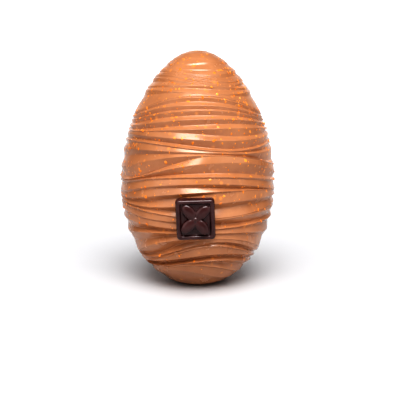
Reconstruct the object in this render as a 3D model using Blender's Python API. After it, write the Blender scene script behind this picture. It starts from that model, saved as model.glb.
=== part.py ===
"""A moulded chocolate egg with pleated sides, and the small dark chocolate plaque set on its front.

Metres, +Z up.  The origin is the middle of the flat spot that the egg stands on, and the plaque faces -Y.
Sizes are named in millimetres.  Bearings are degrees round the egg, 0 at the front and positive to the right.
"""
import math

import bpy
import bmesh
from mathutils import Matrix, Vector

MM = 0.001

# The oval that the pleats' edges lie on
OVAL_LENGTH = 197.0        # tip to tip, before the flat spot takes the end off
OVAL_RADIUS = 64.45        # half its width at mid height
TAPER = 0.122              # how much the upper half narrows against the lower half
FLATTEN = 0.020            # how much both ends are drawn in
TIP_TAPER = 0.042          # extra narrowing close to the tip
STAND_CUT = 3.0            # what the flat spot takes off the blunt end

# The pleats: a sharp edge, an under-face that steps in below it, and a face that comes out to the next edge
STEP_SLOPE = 0.50          # depth of a step against the height of its under-face
STEP_DEPTH = 2.2           # the deepest step
SIDE_EASE = 0.5            # the steps are this much shallower at the egg's sides
BROAD_ARCH = 0.10          # flattens the crown of an arch
PEAKED_ARCH = -0.15        # and this sharpens it, in the folds near the foot
PEAKED_BELOW = 36.0
LEAST_GAP = 0.40           # edges that run together keep this much apart
LEAST_STEP = 0.06          # least share of a pleat that its under-face takes
MOST_STEP = 0.94

# Each pleat from the tip down: the mean height of its edge above the table, how far the edge rises and falls,
# the bearing where it is highest, its under-face's share of the pleat, and how that share grows to the right
PLEATS = [
    (183.2, 1.0, 50, 0.30, 0.0),
    (178.0, 0.0, 0, 0.20, 0.0),
    (176.3, 2.4, -77, 0.50, 0.0),
    (172.0, 3.4, -50, 0.50, 0.0),
    (170.4, 3.8, -54, 0.45, 0.0),
    (169.0, 2.6, -66, 0.45, 0.0),
    (164.8, 1.2, -23, 0.38, 0.0),
    (160.6, 1.5, -60, 0.25, 0.0),
    (151.6, 7.5, 2, 0.50, 0.0),
    (150.4, 7.2, 1, 0.52, 0.0),
    (146.2, 5.4, -1, 0.74, 0.0),
    (142.9, 4.7, 4, 0.56, 0.0),
    (137.5, 3.7, 10, 0.58, -0.08),
    (132.0, 1.8, 19, 0.45, 0.25),
    (126.0, 1.5, -57, 0.74, 0.12),
    (120.1, 3.0, -61, 0.42, 0.22),
    (115.3, 1.5, -29, 0.60, 0.25),
    (107.6, 7.1, 6, 0.25, -0.70),
    (100.4, 8.6, 17, 0.75, 0.0),
    (93.6, 4.8, 3, 0.21, 0.0),
    (86.8, 6.3, 4, 0.45, 0.25),
    (82.3, 4.8, 19, 0.26, -0.20),
    (75.7, 2.8, 42, 0.45, -0.10),
    (68.6, 2.4, -80, 0.20, 0.0),
    (65.2, 2.2, 70, 0.50, 0.33),
    (58.0, 0.8, 88, 0.45, -0.20),
    (50.5, 3.6, 0, 0.40, -0.15),
    (39.8, 10.5, 5, 0.35, -0.50),
    (35.0, 9.8, 15, 0.50, 0.0),
    (31.5, 9.7, 12, 0.16, 0.0),
    (29.2, 5.3, 16, 0.70, -0.15),
    (23.8, 4.8, 14, 0.50, 0.0),
    (17.5, 6.8, -2, 0.18, 0.0),
    (12.5, 6.2, -20, 0.45, 0.0),
]
BARE_TIP = (193.2, 190.8, 187.4)    # plain rings between the tip and the first pleat
BARE_END = (4.0, 1.4)               # plain rings between the last pleat and the flat spot
SIDES = 56                          # facets round the egg

# The plaque: an upright plate with a raised rim and a four-petalled flower
PLAQUE_WIDTH = 29.8
PLAQUE_TALL = 32.4
PLAQUE_CORNER = 2.6
PLAQUE_BACK = 2.2          # how deep its back is let into the pleats
PLAQUE_FRONT = 2.3         # how far its face stands out of them
PLAQUE_HEIGHT = 66.0       # its middle, above the table
PLAQUE_BEARING = -1.4
PLAQUE_ROLL = 2.0          # it was pressed on slightly turned
EDGE_EASE = 0.6
RIM_INSET = 0.25
RIM_WIDTH = 3.6
RIM_RISE = 1.9
RIM_SINK = 0.5             # share of its rise that the bead goes down into the plate
RIM_FACETS = 6
PETAL_LENGTH = 11.0
PETAL_WIDTH = 8.0
PETAL_RISE = 2.0
PETAL_PLACE = 6.7          # from the plaque's middle to a petal's
BUTTON_WIDTH = 6.4
BUTTON_RISE = 2.3
CLEARANCE = 0.35           # kept all round where the plaque sits on the egg

MILK_CHOCOLATE = (0.37, 0.164, 0.077, 1.0)
DARK_CHOCOLATE = (0.055, 0.022, 0.022, 1.0)


def clear_scene():
    for thing in list(bpy.data.objects):
        bpy.data.objects.remove(thing, do_unlink=True)


def chocolate(name, colour, roughness):
    material = bpy.data.materials.new(name)
    material.use_nodes = True
    shader = material.node_tree.nodes["Principled BSDF"]
    shader.inputs["Base Color"].default_value = colour
    shader.inputs["Roughness"].default_value = roughness
    shader.inputs["Metallic"].default_value = 0.0
    material.diffuse_color = colour
    return material


def object_from(name, bm):
    mesh = bpy.data.meshes.new(name)
    bm.to_mesh(mesh)
    bm.free()
    thing = bpy.data.objects.new(name, mesh)
    bpy.context.scene.collection.objects.link(thing)
    return thing


def hidden_helper(thing):
    thing.hide_render = True
    thing.display_type = "WIRE"
    return thing


# ---------------------------------------------------------------- the egg

def oval_radius(height):
    """Radius of the oval at a height above the table, in millimetres."""
    u = 2.0 * (height + STAND_CUT) / OVAL_LENGTH - 1.0
    across = math.sqrt(max(0.0, 1.0 - u * u))
    return OVAL_RADIUS * across * (1.0 - TAPER * u - FLATTEN * u * u - TIP_TAPER * u ** 3)


def edge_height(pleat, bearing):
    """Height of a pleat's edge at a bearing in radians.  Both halves of the mould are alike."""
    height, rise, crown = pleat[:3]
    crowning = PEAKED_ARCH if height < PEAKED_BELOW else BROAD_ARCH
    turn = bearing - math.radians(crown)
    return height + rise * (math.cos(2 * turn) - crowning * math.cos(4 * turn))


def step_share(pleat, bearing):
    """The share of a pleat's height that its under-face takes at a bearing."""
    share, growth = pleat[3:]
    return min(MOST_STEP, max(LEAST_STEP, share + growth * math.sin(2 * bearing)))


def column_of(bearing):
    """(height, depth below the oval) of every ring from the tip down, at one bearing."""
    edges = []
    ceiling = BARE_TIP[-1]
    for pleat in PLEATS:
        ceiling = min(edge_height(pleat, bearing), ceiling - 2 * LEAST_GAP)
        edges.append(ceiling)
    deepest = STEP_DEPTH * (1.0 - SIDE_EASE * math.sin(bearing) ** 2)
    column = [(height, 0.0) for height in BARE_TIP]
    feet = edges[1:] + [BARE_END[0]]
    for pleat, edge, foot in zip(PLEATS, edges, feet):
        drop = max(LEAST_GAP, step_share(pleat, bearing) * (edge - foot))
        column.append((edge, 0.0))
        column.append((edge - drop, min(deepest, STEP_SLOPE * drop)))
    column += [(height, 0.0) for height in BARE_END]
    column.append((0.0, 0.0))
    return column


def egg_body(name, clearance=0.0):
    """The pleated egg as one closed skin, grown outwards by a clearance."""
    bm = bmesh.new()
    tip = bm.verts.new((0.0, 0.0, (OVAL_LENGTH - STAND_CUT + clearance) * MM))
    base = bm.verts.new((0.0, 0.0, -clearance * MM))
    columns = []
    for side in range(SIDES):
        bearing = 2 * math.pi * side / SIDES
        column = []
        for height, depth in column_of(bearing):
            radius = oval_radius(height) - depth + clearance
            level = height - clearance if height == 0.0 else height
            place = Vector((radius * math.sin(bearing), -radius * math.cos(bearing), level))
            column.append(bm.verts.new(place * MM))
        columns.append(column)
    for side in range(SIDES):
        here = columns[side]
        there = columns[(side + 1) % SIDES]
        bm.faces.new((tip, here[0], there[0]))
        bm.faces.new((base, there[-1], here[-1]))
        for ring in range(len(here) - 1):
            bm.faces.new((here[ring], here[ring + 1], there[ring + 1], there[ring]))
    bmesh.ops.triangulate(bm, faces=bm.faces[:])
    bmesh.ops.recalc_face_normals(bm, faces=bm.faces[:])
    return object_from(name, bm)


# ---------------------------------------------------------------- the plaque, lying flat, face up

def plaque_outline(inset, corner, steps=4):
    """The plaque's outline drawn in by an inset, with rounded corners, anticlockwise."""
    points = []
    for quarter, (side, end) in enumerate(((1, 1), (-1, 1), (-1, -1), (1, -1))):
        centre = Vector((side * (PLAQUE_WIDTH / 2 - inset - corner), end * (PLAQUE_TALL / 2 - inset - corner)))
        for step in range(steps + 1):
            angle = math.pi / 2 * (quarter + step / steps)
            points.append(centre + corner * Vector((math.cos(angle), math.sin(angle))))
    return points


def plate():
    """The plaque's plate, with its front edge eased."""
    bm = bmesh.new()
    rings = []
    levels = ((0.0, -PLAQUE_BACK), (0.0, PLAQUE_FRONT - EDGE_EASE), (EDGE_EASE, PLAQUE_FRONT))
    for inset, level in levels:
        outline = plaque_outline(inset, PLAQUE_CORNER - inset)
        rings.append([bm.verts.new(Vector((p.x, p.y, level)) * MM) for p in outline])
    for lower, upper in zip(rings, rings[1:]):
        for index in range(len(lower)):
            after = (index + 1) % len(lower)
            bm.faces.new((lower[index], lower[after], upper[after], upper[index]))
    bm.faces.new(reversed(rings[0]))
    bm.faces.new(rings[-1])
    return object_from("plaque", bm)


def rim():
    """A half-round bead that runs round the plate's edge, sunk a little into its face."""
    bm = bmesh.new()
    rings = []
    turns = [math.pi * step / RIM_FACETS for step in range(RIM_FACETS + 1)]
    bead = [(0.5 - 0.5 * math.cos(turn), math.sin(turn)) for turn in turns]
    profile = [(0.0, -RIM_SINK)] + bead + [(1.0, -RIM_SINK)]
    for across, rise in profile:
        corner = PLAQUE_CORNER - across * RIM_WIDTH / 2
        outline = plaque_outline(RIM_INSET + across * RIM_WIDTH, corner)
        level = PLAQUE_FRONT + rise * RIM_RISE
        rings.append([bm.verts.new(Vector((p.x, p.y, level)) * MM) for p in outline])
    for near, far in zip(rings, rings[1:] + rings[:1]):
        for index in range(len(near)):
            after = (index + 1) % len(near)
            bm.faces.new((near[index], near[after], far[after], far[index]))
    bmesh.ops.recalc_face_normals(bm, faces=bm.faces[:])
    return hidden_helper(object_from("plaque_rim", bm))


def dome(name, length, width, rise, place, turn):
    """A low oval dome with its middle in the plate's face."""
    bm = bmesh.new()
    bmesh.ops.create_uvsphere(bm, u_segments=14, v_segments=8, radius=0.5 * MM)
    stretch = Matrix.Diagonal((length, width, 2 * rise, 1.0))
    shift = Matrix.Translation(Vector((place, 0.0, 0.0)) * MM)
    lift = Matrix.Translation(Vector((0.0, 0.0, PLAQUE_FRONT)) * MM)
    bmesh.ops.transform(bm, matrix=lift @ Matrix.Rotation(turn, 4, "Z") @ shift @ stretch, verts=bm.verts[:])
    return hidden_helper(object_from(name, bm))


def flower():
    petals = []
    for number in range(4):
        turn = math.radians(45 + 90 * number)
        petals.append(dome(f"petal_{number + 1}", PETAL_LENGTH, PETAL_WIDTH, PETAL_RISE, PETAL_PLACE, turn))
    button = dome("flower_button", BUTTON_WIDTH, BUTTON_WIDTH, BUTTON_RISE, 0.0, 0.0)
    return petals + [button]


def boolean(thing, operand, operation):
    modifier = thing.modifiers.new(f"{operation.lower()} {operand.name}", "BOOLEAN")
    modifier.operation = operation
    modifier.solver = "EXACT"
    modifier.object = operand


def seat_on_egg():
    """Placement that lays the plaque's plane against the oval, turned to face outwards."""
    bearing = math.radians(PLAQUE_BEARING)
    radius = oval_radius(PLAQUE_HEIGHT)
    spread = oval_radius(PLAQUE_HEIGHT + 1.0) - oval_radius(PLAQUE_HEIGHT - 1.0)
    downward = math.atan2(spread, 2.0)
    place = Vector((radius * math.sin(bearing), -radius * math.cos(bearing), PLAQUE_HEIGHT)) * MM
    upright = Matrix.Rotation(math.pi / 2 + downward, 4, "X")
    return Matrix.Translation(place) @ Matrix.Rotation(bearing, 4, "Z") @ upright @ \
        Matrix.Rotation(math.radians(PLAQUE_ROLL), 4, "Z")


def main():
    clear_scene()
    milk = chocolate("milk_chocolate", MILK_CHOCOLATE, 0.32)
    dark = chocolate("dark_chocolate", DARK_CHOCOLATE, 0.28)

    egg = egg_body("egg")
    egg.data.materials.append(milk)

    plaque = plate()
    plaque.data.materials.append(dark)
    raised = [rim()] + flower()
    placement = seat_on_egg()
    for piece in [plaque] + raised:
        piece.matrix_world = placement
    for piece in raised:
        boolean(plaque, piece, "UNION")
    hollow = hidden_helper(egg_body("egg_clearance", CLEARANCE))
    boolean(plaque, hollow, "DIFFERENCE")


main()
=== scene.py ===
# %% [markdown]
# A moulded chocolate egg: milk chocolate cast in a pleated mould whose walls were sprinkled with caramel chips,
# and a small dark chocolate plaque stuck on its front.
#
# The solid model of the egg and the plaque is loaded first and stays as it is.  Everything below gives it the look
# of chocolate: rounded edges that catch the light, chips, gloss, and the studio round it.

import math
import random

import bmesh
import bpy
from mathutils import Matrix, Vector
from mathutils.bvhtree import BVHTree


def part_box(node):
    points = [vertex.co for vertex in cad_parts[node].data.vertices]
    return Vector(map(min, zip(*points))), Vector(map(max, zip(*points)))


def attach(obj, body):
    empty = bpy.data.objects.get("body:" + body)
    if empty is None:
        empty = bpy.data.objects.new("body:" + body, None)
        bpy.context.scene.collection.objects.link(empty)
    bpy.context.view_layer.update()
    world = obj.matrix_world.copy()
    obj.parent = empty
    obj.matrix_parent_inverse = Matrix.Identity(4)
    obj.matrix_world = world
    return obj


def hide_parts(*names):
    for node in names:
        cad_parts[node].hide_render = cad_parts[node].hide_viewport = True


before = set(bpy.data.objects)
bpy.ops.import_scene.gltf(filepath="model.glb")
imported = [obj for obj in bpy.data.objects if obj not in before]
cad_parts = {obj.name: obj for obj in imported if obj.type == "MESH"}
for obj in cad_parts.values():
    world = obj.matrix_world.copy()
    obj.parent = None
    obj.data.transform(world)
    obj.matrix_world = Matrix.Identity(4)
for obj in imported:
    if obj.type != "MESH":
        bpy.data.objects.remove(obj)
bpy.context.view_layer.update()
MM = 0.001
egg_low, egg_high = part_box("egg")
plaque_low, plaque_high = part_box("plaque")
print("egg", [round(v / MM, 1) for v in egg_high - egg_low], "mm")
print("plaque", [round(v / MM, 1) for v in plaque_high - plaque_low], "mm")

# %% [markdown]
# Blender's operators work on whatever is selected, so two small helpers come first.  One makes a single piece the
# selected and active one.  The other picks vertices, edges or faces by a rule while the piece is being edited,
# which is what a modeller does with the mouse.

# %% Helpers for selecting
def only(piece):
    """Select one piece, and nothing else, in object mode."""
    if bpy.context.object and bpy.context.object.mode != "OBJECT":
        bpy.ops.object.mode_set(mode="OBJECT")
    bpy.ops.object.select_all(action="DESELECT")
    piece.select_set(True)
    bpy.context.view_layer.objects.active = piece
    return piece


def edit(piece):
    only(piece)
    bpy.ops.object.mode_set(mode="EDIT")


def pick(piece, kind, wanted):
    """In edit mode, select the vertices, edges or faces that a rule asks for."""
    bpy.ops.mesh.select_mode(type=kind)
    bpy.ops.mesh.select_all(action="DESELECT")
    bm = bmesh.from_edit_mesh(piece.data)
    bm.verts.index_update()
    parts = {"VERT": bm.verts, "EDGE": bm.edges, "FACE": bm.faces}[kind]
    found = [part for part in parts if wanted(part)]
    for part in found:
        part.select_set(True)
    bm.select_flush_mode()
    bmesh.update_edit_mesh(piece.data)
    return len(found)


def apply_modifier(piece, kind, **settings):
    """Add a modifier, set it and apply it at once."""
    only(piece)
    bpy.ops.object.modifier_add(type=kind)
    modifier = piece.modifiers[-1]
    for name, value in settings.items():
        setattr(modifier, name, value)
    bpy.ops.object.modifier_apply(modifier=modifier.name)


def copy_of_node(node, name):
    """A copy of a solid's mesh with its loose triangles joined up."""
    only(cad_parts[node])
    bpy.ops.object.duplicate()
    piece = bpy.context.object
    piece.name = name
    piece.data.name = name
    edit(piece)
    bpy.ops.mesh.select_all(action="SELECT")
    bpy.ops.mesh.remove_doubles(threshold=0.01 * MM)
    bpy.ops.object.mode_set(mode="OBJECT")
    bpy.ops.mesh.customdata_custom_splitnormals_clear()
    piece.data.materials.clear()
    return piece


print("the solid nodes are", sorted(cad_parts))

# %% [markdown]
# The egg's skin could be modelled from a sphere, but its pleats are already in the solid, as facets.  So the skin
# starts as a copy of it.  The solid's corners stand in columns, one above the other, and in rings that follow the
# pleats' edges round the egg.  Knowing each corner's column and ring, the diagonals between them are dissolved,
# which leaves clean four-sided faces.

# %% The egg's skin: from triangles to a grid
def grid_places(mesh, columns):
    """The (column, ring) of each vertex: columns go round the egg, rings go down it, and poles have no column."""
    places = {}
    stacks = [[] for _ in range(columns)]
    for vertex in mesh.vertices:
        across = math.hypot(vertex.co.x, vertex.co.y)
        if across < 0.1 * MM:
            places[vertex.index] = (None, None)
            continue
        turn = math.atan2(vertex.co.x, -vertex.co.y) / (2 * math.pi)
        stacks[round(turn * columns) % columns].append(vertex)
    for column, stack in enumerate(stacks):
        stack.sort(key=lambda vertex: -vertex.co.z)
        for ring, vertex in enumerate(stack):
            places[vertex.index] = (column, ring)
    depths = {len(stack) for stack in stacks}
    print(columns, "columns of", depths, "rings")
    return places, min(depths)


def column_count(mesh):
    bearings = {round(math.degrees(math.atan2(v.co.x, -v.co.y)), 1) for v in mesh.vertices
                if math.hypot(v.co.x, v.co.y) > 0.1 * MM}
    return len(bearings)


egg = copy_of_node("egg", "milk_egg")
columns = column_count(egg.data)
places, rings = grid_places(egg.data, columns)
BARE_RINGS = 6             # three at the tip and three at the foot have no pleat
pleats = (rings - BARE_RINGS) // 2
print(pleats, "pleats")


def is_diagonal(edge):
    """True for an edge that joins neither neighbours in a column nor neighbours in a ring."""
    (column_a, ring_a), (column_b, ring_b) = (places[v.index] for v in edge.verts)
    if column_a is None or column_b is None or column_a == column_b:
        return False
    side_by_side = (column_a - column_b) % columns in (1, columns - 1)
    return ring_a != ring_b or not side_by_side


edit(egg)
print("dissolving", pick(egg, "EDGE", is_diagonal), "diagonals")
bpy.ops.mesh.dissolve_edges(use_verts=False)
bpy.ops.object.mode_set(mode="OBJECT")
print("the skin has", len(egg.data.polygons), "faces")

# %% [markdown]
# A mould is cut with a tool, so the pleats are long flat facets between sharp edges, and they run round the egg in
# smooth curves.  A crease on every ring keeps the facets flat while one level of subdivision rounds the egg the
# other way.  Without the creases the pleats would melt away.

# %% The egg's skin: smooth round the egg, flat down each facet
def is_ring_edge(edge):
    (column_a, ring_a), (column_b, ring_b) = (places[v.index] for v in edge.verts)
    return ring_a is not None and ring_a == ring_b


edit(egg)
print("creasing", pick(egg, "EDGE", is_ring_edge), "ring edges")
bpy.ops.transform.edge_crease(value=1.0)
bpy.ops.object.mode_set(mode="OBJECT")
apply_modifier(egg, "SUBSURF", levels=1, render_levels=1)
columns *= 2
places, rings = grid_places(egg.data, columns)

# %% [markdown]
# Each pleat is four rings of corners: its edge, the middle of its under-face, its foot, and the middle of the broad
# face that swings out to the next edge.  Two things are refined here.  The feet go in deeper, the more the lower
# they lie and most in the folds near the foot of the egg, which tips the broad faces up to the light.  A pleat with
# a short under-face takes less of this, or the face would fold in on itself.  And the broad faces swell a little,
# as they do when a mould is polished by hand.

# %% The egg's skin: deeper feet and faces that swell
FACE_SWELL = 0.015         # against the face's height
FOOT_DEEPER = 0.8          # against the depth a foot has in the solid
DEEPER_TOP = 190 * MM      # no deeper than the solid at this height
DEEPER_SPAN = 110 * MM     # and the full share this far below it
FOLDS_DEEPER = 0.7         # added to that for the folds near the foot of the egg
FOLDS_TOP = 62 * MM
FOLDS_SPAN = 16 * MM
UNDER_STEEPEST = 2.0       # a deepened foot lies in by at most this much of its distance below the edge
FIRST_EDGE = 7             # the first pleat's edge, counted in rings from the tip
LAST_FOOT = FIRST_EDGE + 4 * pleats - 2

stack = {place: index for index, place in places.items() if place[0] is not None}


def outward_of(upper, lower):
    """The direction square to the line from one corner to the next below it, pointing out of the egg."""
    outward = Vector((0, 0, 1)).cross(upper).cross(lower - upper).normalized()
    return outward if outward.dot(Vector((upper.x, upper.y, 0))) > 0 else -outward


corners = egg.data.vertices
for pleat in range(pleats - 1):
    ring = FIRST_EDGE + 4 * pleat
    for column in range(columns):
        edge_here, under, foot, face, edge_next = (corners[stack[(column, ring + step)]] for step in range(5))
        outward = outward_of(edge_here.co, edge_next.co)
        depth = (edge_here.co - foot.co).dot(outward)
        below = (edge_here.co - foot.co).length_squared - depth ** 2
        room_in = UNDER_STEEPEST * math.sqrt(max(0.0, below)) / max(depth, 0.01 * MM) - 1.0
        share = FOOT_DEEPER * min(1.0, (DEEPER_TOP - foot.co.z) / DEEPER_SPAN)
        share += FOLDS_DEEPER * min(1.0, max(0.0, (FOLDS_TOP - foot.co.z) / FOLDS_SPAN))
        share = min(share, max(0.0, room_in))
        foot.co -= outward * depth * share
        under.co -= outward * depth * share / 2
        face.co = (foot.co + edge_next.co) / 2
        face.co += outward_of(foot.co, edge_next.co) * FACE_SWELL * (edge_next.co - foot.co).length
print((pleats - 1) * columns, "feet set")

# %% [markdown]
# Cast chocolate never has a knife edge.  The corner at each pleat's foot was a ridge rounded by the polishing of the
# mould, so it has the wider radius, and it draws the thin bright line along the top of the face below it.  The
# pleat's edge was a groove in the mould and came out crisper.  Where pleats run together there is no room for
# this, so every edge gets a bevel weight that follows the room around it.

# %% The egg's skin: rounded edges
FOOT_ROUND = 0.80 * MM
EDGE_SHARE = 0.35          # the pleats' edges are rounded this much of that
ROOM_SHARE = 0.28          # a rounding takes at most this much of the way to the next ring


def edge_room(mesh):
    """For each vertex, the distance to the nearer ring above or below it in its column."""
    room = {}
    for (column, ring), index in stack.items():
        here = mesh.vertices[index].co
        near = [stack[(column, other)] for other in (ring - 1, ring + 1) if (column, other) in stack]
        room[index] = min((mesh.vertices[other].co - here).length for other in near)
    return room


room = edge_room(egg.data)
weights = egg.data.attributes.new("bevel_weight_edge", "FLOAT", "EDGE")
for edge in egg.data.edges:
    (column_a, ring_a), (column_b, ring_b) = (places[v] for v in edge.vertices)
    if ring_a is None or ring_a != ring_b or ring_a > LAST_FOOT:
        continue
    step = ring_a - FIRST_EDGE
    if step % 2:
        continue
    share = EDGE_SHARE if step % 4 == 0 or step < 0 else 1.0
    least = min(room[v] for v in edge.vertices)
    weights.data[edge.index].value = min(share, ROOM_SHARE * least / FOOT_ROUND)

apply_modifier(egg, "BEVEL", limit_method="WEIGHT", width=FOOT_ROUND, segments=3, use_clamp_overlap=False)
bpy.ops.object.shade_smooth()
apply_modifier(egg, "WEIGHTED_NORMAL", weight=60)
print("the skin has", len(egg.data.polygons), "faces")

# %% [markdown]
# The caramel chips are broken sugar.  They were thrown into the open mould before the chocolate was poured, so they
# lie in its outer skin, flush or just proud, and no two are alike.  Three kinds are modelled, with few faces
# because they repeat by the hundred: a rounded crumb, a long shard and a round pearl.

# %% Three kinds of caramel chip, each about one unit long
def start_chip(name, adder, **settings):
    if bpy.context.mode != "OBJECT":
        bpy.ops.object.mode_set(mode="OBJECT")
    bpy.ops.object.select_all(action="DESELECT")
    adder(location=(0, 0, 0), **settings)
    chip = bpy.context.object
    chip.name = name
    bpy.ops.object.mode_set(mode="EDIT")
    bpy.ops.mesh.select_all(action="SELECT")
    return chip


def cut_flat(point, normal):
    """Break a flat face off the chip, as a knife would."""
    bpy.ops.mesh.select_all(action="SELECT")
    bpy.ops.mesh.bisect(plane_co=point, plane_no=normal, use_fill=True, clear_outer=True)


crumb = start_chip("chip_crumb", bpy.ops.mesh.primitive_ico_sphere_add, subdivisions=2, radius=0.5)
bpy.ops.transform.resize(value=(1.0, 0.8, 0.62))
bpy.ops.transform.vertex_random(offset=0.07, seed=3)
cut_flat((0.36, 0.0, 0.0), (1.0, 0.25, 0.1))
cut_flat((-0.2, 0.28, 0.0), (-0.6, 1.0, 0.15))

shard = start_chip("chip_shard", bpy.ops.mesh.primitive_cube_add, size=0.7)
bpy.ops.transform.resize(value=(1.45, 0.55, 0.5))
bpy.ops.mesh.bevel(offset=0.09, segments=1, affect="EDGES")
bpy.ops.transform.vertex_random(offset=0.06, seed=8)
cut_flat((0.38, 0.0, 0.0), (1.0, -0.8, 0.0))
cut_flat((-0.4, 0.0, 0.0), (-1.0, -0.4, 0.3))

pearl = start_chip("chip_pearl", bpy.ops.mesh.primitive_uv_sphere_add, segments=8, ring_count=5, radius=0.42)
bpy.ops.transform.resize(value=(1.0, 0.92, 0.8))
bpy.ops.transform.vertex_random(offset=0.03, seed=5)

bpy.ops.object.mode_set(mode="OBJECT")
chip_kinds = [crumb, shard, pearl]
print("chips:", {chip.name: len(chip.data.polygons) for chip in chip_kinds})

# %% [markdown]
# They are scattered by a rule with a fixed seed, so every run gives the same egg.  Chips slid down the mould's walls
# while it was turned: many lie round the narrow end and along the sides, few in the middle of the front and back
# and fewer still near the foot.  Each is set into the skin at the height and bearing drawn for it, turned at
# random about the skin's own outward direction, and sunk until little more than its back shows.

# %% Scatter the chips
CHIP_COUNT = 2100
CHIP_SMALL = 1.3 * MM
CHIP_LARGE = 4.0 * MM
CHIP_SUNK = 0.18           # how deep its middle lies, against its own height
CHIP_KIND_ODDS = (5, 4, 1)


def chip_chance(height, bearing):
    """How likely a chip is to stay at a place on the wall, from 0 to 1."""
    up = height / egg_high.z
    by_height = 0.10 + 0.90 * min(1.0, max(0.0, (up - 0.22) / 0.45))
    by_side = 0.42 + 0.58 * abs(math.sin(bearing)) ** 1.5
    return by_height * (by_side if up < 0.8 else 0.9)


draw = random.Random(29)
skin = BVHTree.FromObject(egg, bpy.context.evaluated_depsgraph_get())
chips_mesh = bmesh.new()
placed = 0
while placed < CHIP_COUNT:
    bearing = draw.uniform(-math.pi, math.pi)
    height = draw.uniform(0.09, 0.985) * egg_high.z
    spread = draw.random()
    outward = Vector((math.sin(bearing), -math.cos(bearing), 0.0))
    place, normal, _, _ = skin.ray_cast(outward + Vector((0, 0, height)), -outward)
    crowd = math.hypot(place.x, place.y) / egg_high.x
    if spread > crowd * chip_chance(height, bearing):
        continue
    length = CHIP_SMALL + (CHIP_LARGE - CHIP_SMALL) * draw.random() ** 2.1
    kind = draw.choices(chip_kinds, CHIP_KIND_ODDS)[0]
    squash = draw.uniform(0.4, 0.65)
    turn = Matrix.Rotation(draw.uniform(0, 2 * math.pi), 4, "Z")
    tilt = Matrix.Rotation(draw.uniform(-0.25, 0.25), 4, "X")
    size = Matrix.Diagonal((length, length * draw.uniform(0.7, 1.0), length * squash, 1.0))
    facing = normal.to_track_quat("Z", "X").to_matrix().to_4x4()
    sink = Matrix.Translation(place - normal * CHIP_SUNK * length * squash)
    chip = kind.data.copy()
    chip.transform(sink @ facing @ tilt @ turn @ size)
    chips_mesh.from_mesh(chip)
    bpy.data.meshes.remove(chip)
    placed += 1

chips = bpy.data.objects.new("caramel_chips", bpy.data.meshes.new("caramel_chips"))
bpy.context.scene.collection.objects.link(chips)
chips_mesh.to_mesh(chips.data)
chips_mesh.free()
for chip in chip_kinds:
    bpy.data.objects.remove(chip, do_unlink=True)
only(chips)
bpy.ops.object.shade_smooth_by_angle(angle=math.radians(28))
print(placed, "chips with", len(chips.data.polygons), "faces")

# %% [markdown]
# The plaque was cast in a little mould of its own and stuck on with melted chocolate.  Its plate, rim and flower are
# already in the solid as facets.  The copy gets a plumper flower: four long drops, each a stretched sphere, lying
# over the solid's petals and joined to them.  Remeshing the whole into an even fine skin and then smoothing it lets
# every foot and shoulder flow into the next, as in anything cast from a liquid.

# %% The plaque
PLAQUE_GRAIN = 0.28 * MM
PLAQUE_SMOOTHING = 6
PETAL_SIZE = (4.3 * MM, 1.9 * MM, 7.0 * MM)     # half its width, height and length
PETAL_OUT = 7.3 * MM       # from the flower's middle to a petal's middle
PETAL_LEAN = math.radians(43)
BUTTON_SIZE = 2.3 * MM
PLATE_LEAN = math.radians(2)

plaque = copy_of_node("plaque", "dark_plaque")
middle = (plaque_low + plaque_high) / 2
turned = math.atan2(middle.x, -middle.y)
petals = []
for lean in (PETAL_LEAN, -PETAL_LEAN, math.pi - PETAL_LEAN, PETAL_LEAN - math.pi):
    bpy.ops.object.select_all(action="DESELECT")
    bpy.ops.mesh.primitive_uv_sphere_add(segments=40, ring_count=24, radius=1.0)
    petal = bpy.context.object
    petal.scale = PETAL_SIZE
    petal.location = (PETAL_OUT * math.sin(lean), plaque_low.y + 2.3 * MM, PETAL_OUT * math.cos(lean))
    petal.rotation_euler = (0.0, lean, 0.0)
    petals.append(petal)
bpy.ops.mesh.primitive_uv_sphere_add(segments=32, ring_count=20, radius=BUTTON_SIZE)
button = bpy.context.object
button.location = (0.0, plaque_low.y + 2.7 * MM, 0.0)
for petal in petals + [button]:
    petal.select_set(True)
bpy.ops.object.transform_apply(location=True, rotation=True, scale=True)
place_flower = (Matrix.Translation((0.0, 0.0, middle.z)) @ Matrix.Rotation(turned, 4, "Z")
                @ Matrix.Rotation(PLATE_LEAN, 4, "Y"))
for petal in petals + [button]:
    petal.data.transform(place_flower)
plaque.select_set(True)
bpy.context.view_layer.objects.active = plaque
bpy.ops.object.join()
apply_modifier(plaque, "REMESH", mode="VOXEL", voxel_size=PLAQUE_GRAIN, use_smooth_shade=True)
apply_modifier(plaque, "SMOOTH", factor=0.5, iterations=PLAQUE_SMOOTHING)
print("the plaque has", len(plaque.data.polygons), "faces")

# %% [markdown]
# A material is a small network of nodes.  These helpers add a node, set its inputs and wire it up in one line each.
# All patterns read Object coordinates, which here are simply metres, so a scale of 100 means a feature every
# centimetre.

# %% Helpers for materials
def new_material(name):
    material = bpy.data.materials.new(name)
    material.use_nodes = True
    return material, material.node_tree.nodes["Principled BSDF"]


def node(material, kind, settings=None, **inputs):
    """Add a node, set its options and sockets, and wire in any socket given as an input."""
    made = material.node_tree.nodes.new(kind)
    for name, value in (settings or {}).items():
        setattr(made, name, value)
    for name, value in inputs.items():
        socket = made.inputs[name.replace("_", " ")]
        if isinstance(value, bpy.types.NodeSocket):
            material.node_tree.links.new(value, socket)
        else:
            socket.default_value = value
    return made


def ramp(material, factor, stops):
    """A colour ramp through (position, colour) stops."""
    made = node(material, "ShaderNodeValToRGB", Fac=factor)
    elements = made.color_ramp.elements
    while len(elements) < len(stops):
        elements.new(0.5)
    for element, (position, colour) in zip(elements, stops):
        element.position = position
        element.color = colour
    return made.outputs["Color"]


def grey(value):
    return (value, value, value, 1.0)


def object_place(material):
    return node(material, "ShaderNodeTexCoord").outputs["Object"]


print("material helpers ready")

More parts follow.
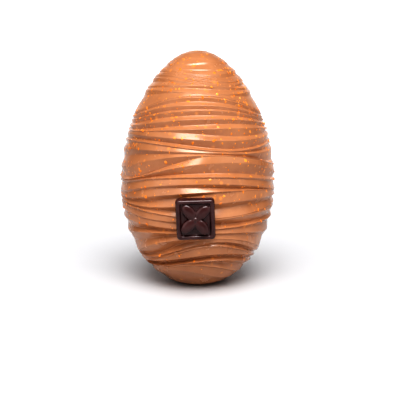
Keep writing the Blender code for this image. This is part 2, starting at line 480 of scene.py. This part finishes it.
# %% [markdown]
# Milk chocolate is an even warm brown with a soft gloss.  What keeps it from looking like plastic is small: slow
# drifts between a warmer and a cooler brown, and chips lying just under the surface, which glow through it as
# blurred amber spots.  The gloss drifts too, and a very fine grain breaks up the reflections.

# %% Milk chocolate
MILK_DARK = (0.32, 0.140, 0.064, 1.0)
MILK_LIGHT = (0.41, 0.187, 0.089, 1.0)
BURIED_AMBER = (0.80, 0.30, 0.06, 1.0)

milk, milk_shader = new_material("milk_chocolate")
place = object_place(milk)
drift = node(milk, "ShaderNodeTexNoise", Vector=place, Scale=38.0, Detail=4.0, Roughness=0.55)
brown = ramp(milk, drift.outputs["Fac"], [(0.32, MILK_DARK), (0.68, MILK_LIGHT)])
cells = node(milk, "ShaderNodeTexVoronoi", Vector=place, Scale=150.0, Randomness=1.0)
spot = ramp(milk, cells.outputs["Distance"], [(0.08, grey(1.0)), (0.30, grey(0.0))])
chosen = ramp(milk, cells.outputs["Color"], [(0.60, grey(0.0)), (0.66, grey(1.0))])
buried = node(milk, "ShaderNodeMath", {"operation": "MULTIPLY"})
milk.node_tree.links.new(spot, buried.inputs[0])
milk.node_tree.links.new(chosen, buried.inputs[1])
faint = node(milk, "ShaderNodeMath", {"operation": "MULTIPLY"})
milk.node_tree.links.new(buried.outputs[0], faint.inputs[0])
faint.inputs[1].default_value = 0.45
glow = node(milk, "ShaderNodeMix", {"data_type": "RGBA"})
milk.node_tree.links.new(faint.outputs[0], glow.inputs["Factor"])
milk.node_tree.links.new(brown, glow.inputs["A"])
glow.inputs["B"].default_value = BURIED_AMBER
milk.node_tree.links.new(glow.outputs["Result"], milk_shader.inputs["Base Color"])
smears = node(milk, "ShaderNodeTexNoise", Vector=place, Scale=90.0, Detail=3.0)
gloss = ramp(milk, smears.outputs["Fac"], [(0.30, grey(0.18)), (0.72, grey(0.29))])
milk.node_tree.links.new(gloss, milk_shader.inputs["Roughness"])
grain = node(milk, "ShaderNodeTexNoise", Vector=place, Scale=1500.0, Detail=2.0)
waves = node(milk, "ShaderNodeTexNoise", Vector=place, Scale=170.0, Detail=2.0)
fine = node(milk, "ShaderNodeBump", Strength=0.03, Distance=0.0002, Height=grain.outputs["Fac"])
uneven = node(milk, "ShaderNodeBump", Strength=0.10, Distance=0.0008, Height=waves.outputs["Fac"],
              Normal=fine.outputs["Normal"])
milk.node_tree.links.new(uneven.outputs["Normal"], milk_shader.inputs["Normal"])
milk_shader.inputs["IOR"].default_value = 1.58
egg.data.materials.append(milk)
print("milk chocolate on", egg.name)

# %% [markdown]
# Caramel is boiled sugar: clear amber, glossy, and lighter where a chip is thin.  Each chip gets its own tone,
# because the pattern that sets it is far coarser than a chip.

# %% Caramel
caramel, caramel_shader = new_material("caramel")
place = object_place(caramel)
tones = node(caramel, "ShaderNodeTexNoise", Vector=place, Scale=210.0, Detail=1.0)
amber = ramp(caramel, tones.outputs["Fac"],
             [(0.30, (0.56, 0.155, 0.020, 1.0)), (0.52, (0.70, 0.23, 0.032, 1.0)), (0.76, (0.82, 0.35, 0.065, 1.0))])
caramel.node_tree.links.new(amber, caramel_shader.inputs["Base Color"])
pits = node(caramel, "ShaderNodeTexNoise", Vector=place, Scale=1300.0, Detail=2.0)
sugar = node(caramel, "ShaderNodeBump", Strength=0.25, Distance=0.0002, Height=pits.outputs["Fac"])
caramel.node_tree.links.new(sugar.outputs["Normal"], caramel_shader.inputs["Normal"])
shine = ramp(caramel, pits.outputs["Fac"], [(0.35, grey(0.12)), (0.70, grey(0.32))])
caramel.node_tree.links.new(shine, caramel_shader.inputs["Roughness"])
chips.data.materials.append(caramel)
print("caramel on", chips.name)

# %% [markdown]
# Dark chocolate is almost black-brown with a red cast, and polished by its mould, so it shows the lights as clear
# white shapes.  Fine bloom dulls it slightly in patches.

# %% Dark chocolate
dark, dark_shader = new_material("dark_chocolate")
place = object_place(dark)
cloud = node(dark, "ShaderNodeTexNoise", Vector=place, Scale=120.0, Detail=4.0)
bitter = ramp(dark, cloud.outputs["Fac"], [(0.35, (0.040, 0.014, 0.014, 1.0)), (0.70, (0.066, 0.025, 0.024, 1.0))])
dark.node_tree.links.new(bitter, dark_shader.inputs["Base Color"])
bloom = ramp(dark, cloud.outputs["Fac"], [(0.35, grey(0.10)), (0.75, grey(0.20))])
dark.node_tree.links.new(bloom, dark_shader.inputs["Roughness"])
skin_grain = node(dark, "ShaderNodeTexNoise", Vector=place, Scale=700.0, Detail=2.0)
dimple = node(dark, "ShaderNodeBump", Strength=0.08, Distance=0.0002, Height=skin_grain.outputs["Fac"])
dark.node_tree.links.new(dimple.outputs["Normal"], dark_shader.inputs["Normal"])
plaque.data.materials.append(dark)
print("dark chocolate on", plaque.name)

# %% [markdown]
# The new pieces stand for the solid ones: the skin replaces the egg and the cast plaque replaces the plaque.
# Everything rides on the one body there is.

# %% Fit the pieces to the solid model
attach(egg, "root")
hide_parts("egg")
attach(chips, "root")
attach(plaque, "root")
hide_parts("plaque")
print("pieces fitted")

# %% [markdown]
# The egg stands on a plain pale floor that curves up behind it, so there is no horizon.  A plane is extruded up
# at the back and the fold is rounded with a wide bevel.

# %% Floor
FLOOR_HALF = 5.0
FLOOR_BACK = 1.6

bpy.ops.object.select_all(action="DESELECT")
bpy.ops.mesh.primitive_plane_add(size=2 * FLOOR_HALF, location=(0, FLOOR_BACK - FLOOR_HALF, 0))
floor = bpy.context.object
floor.name = "floor"
bpy.ops.object.transform_apply(location=True, rotation=True, scale=True)
edit(floor)
pick(floor, "EDGE", lambda edge: all(v.co.y > FLOOR_BACK - 0.01 for v in edge.verts))
bpy.ops.mesh.extrude_region_move(TRANSFORM_OT_translate={"value": (0, 0, 2 * FLOOR_BACK)})
pick(floor, "EDGE", lambda edge: all(v.co.y > FLOOR_BACK - 0.01 and v.co.z < 0.01 for v in edge.verts))
bpy.ops.mesh.bevel(offset=1.0, segments=16, affect="EDGES")
bpy.ops.object.mode_set(mode="OBJECT")
bpy.ops.object.shade_smooth()
pale, pale_shader = new_material("pale_floor")
faint_tone = node(pale, "ShaderNodeTexNoise", Vector=object_place(pale), Scale=6.0, Detail=2.0)
paper = ramp(pale, faint_tone.outputs["Fac"], [(0.3, (0.50, 0.50, 0.51, 1.0)), (0.7, (0.515, 0.515, 0.525, 1.0))])
pale.node_tree.links.new(paper, pale_shader.inputs["Base Color"])
pale_shader.inputs["Roughness"].default_value = 0.7
floor.data.materials.append(pale)
print("floor ready")

# %% [markdown]
# One large soft light hangs in front of the egg and well above it.  It makes the bright bands on the facets that
# look up, and leaves the under-faces dark.  It hangs far enough away that the tip is not much nearer to it than the
# foot.  Two weaker lights stand low on either side and fill the flanks, a fourth behind the egg whitens the
# backdrop, and a pale world fills the rest.  The view is set to a strong contrast, as in a product picture.

# %% Lights
def soft_light(name, bearing, elevation, distance, width, tall, power):
    """A rectangular light aimed at the egg's middle."""
    aim = Vector((0, 0, egg_high.z / 2))
    away = Vector((math.sin(bearing) * math.cos(elevation), -math.cos(bearing) * math.cos(elevation),
                   math.sin(elevation)))
    bpy.ops.object.light_add(type="AREA", location=aim + away * distance)
    lamp = bpy.context.object
    lamp.name = name
    lamp.data.shape = "RECTANGLE"
    lamp.data.size = width
    lamp.data.size_y = tall
    lamp.data.energy = power
    lamp.rotation_euler = (-away).to_track_quat("-Z", "Y").to_euler()
    return lamp


key = soft_light("key_light", math.radians(5), math.radians(57), 1.60, 1.48, 1.28, 8.9)
key.data.spread = math.radians(75)
left = soft_light("left_fill", math.radians(-48), math.radians(18), 1.3, 1.0, 1.3, 3.5)
right = soft_light("right_fill", math.radians(52), math.radians(18), 1.3, 1.0, 1.3, 2.3)
behind = soft_light("backdrop_light", math.radians(180), math.radians(66), 1.3, 2.0, 0.8, 12.0)
behind.rotation_euler = Vector((0, 1, -1.2)).to_track_quat("-Z", "Y").to_euler()
behind.data.spread = math.radians(115)
world = bpy.data.worlds.new("studio")
bpy.context.scene.world = world
world.use_nodes = True
world.node_tree.nodes["Background"].inputs["Color"].default_value = (1.0, 1.0, 1.0, 1.0)
world.node_tree.nodes["Background"].inputs["Strength"].default_value = 0.20
bpy.context.scene.view_settings.view_transform = "Standard"
bpy.context.scene.view_settings.look = "Very High Contrast"
print("lights:", [lamp.name for lamp in (key, left, right, behind)])

# %% [markdown]
# The camera looks slightly down on the egg from the front, close enough to see a little of its perspective.

# %% Camera
CAMERA_DISTANCE = 0.599
CAMERA_ELEVATION = math.radians(10)
LOOK_HEIGHT = 0.0693

bpy.ops.object.camera_add()
camera = bpy.context.object
camera.name = "camera"
look = Vector((0, 0, LOOK_HEIGHT))
away = Vector((0, -math.cos(CAMERA_ELEVATION), math.sin(CAMERA_ELEVATION)))
camera.location = look + away * CAMERA_DISTANCE
camera.rotation_euler = (-away).to_track_quat("-Z", "Y").to_euler()
camera.data.lens = 63.5
camera.data.shift_x = 0.006
bpy.context.scene.camera = camera
print("camera at", [round(v, 3) for v in camera.location])
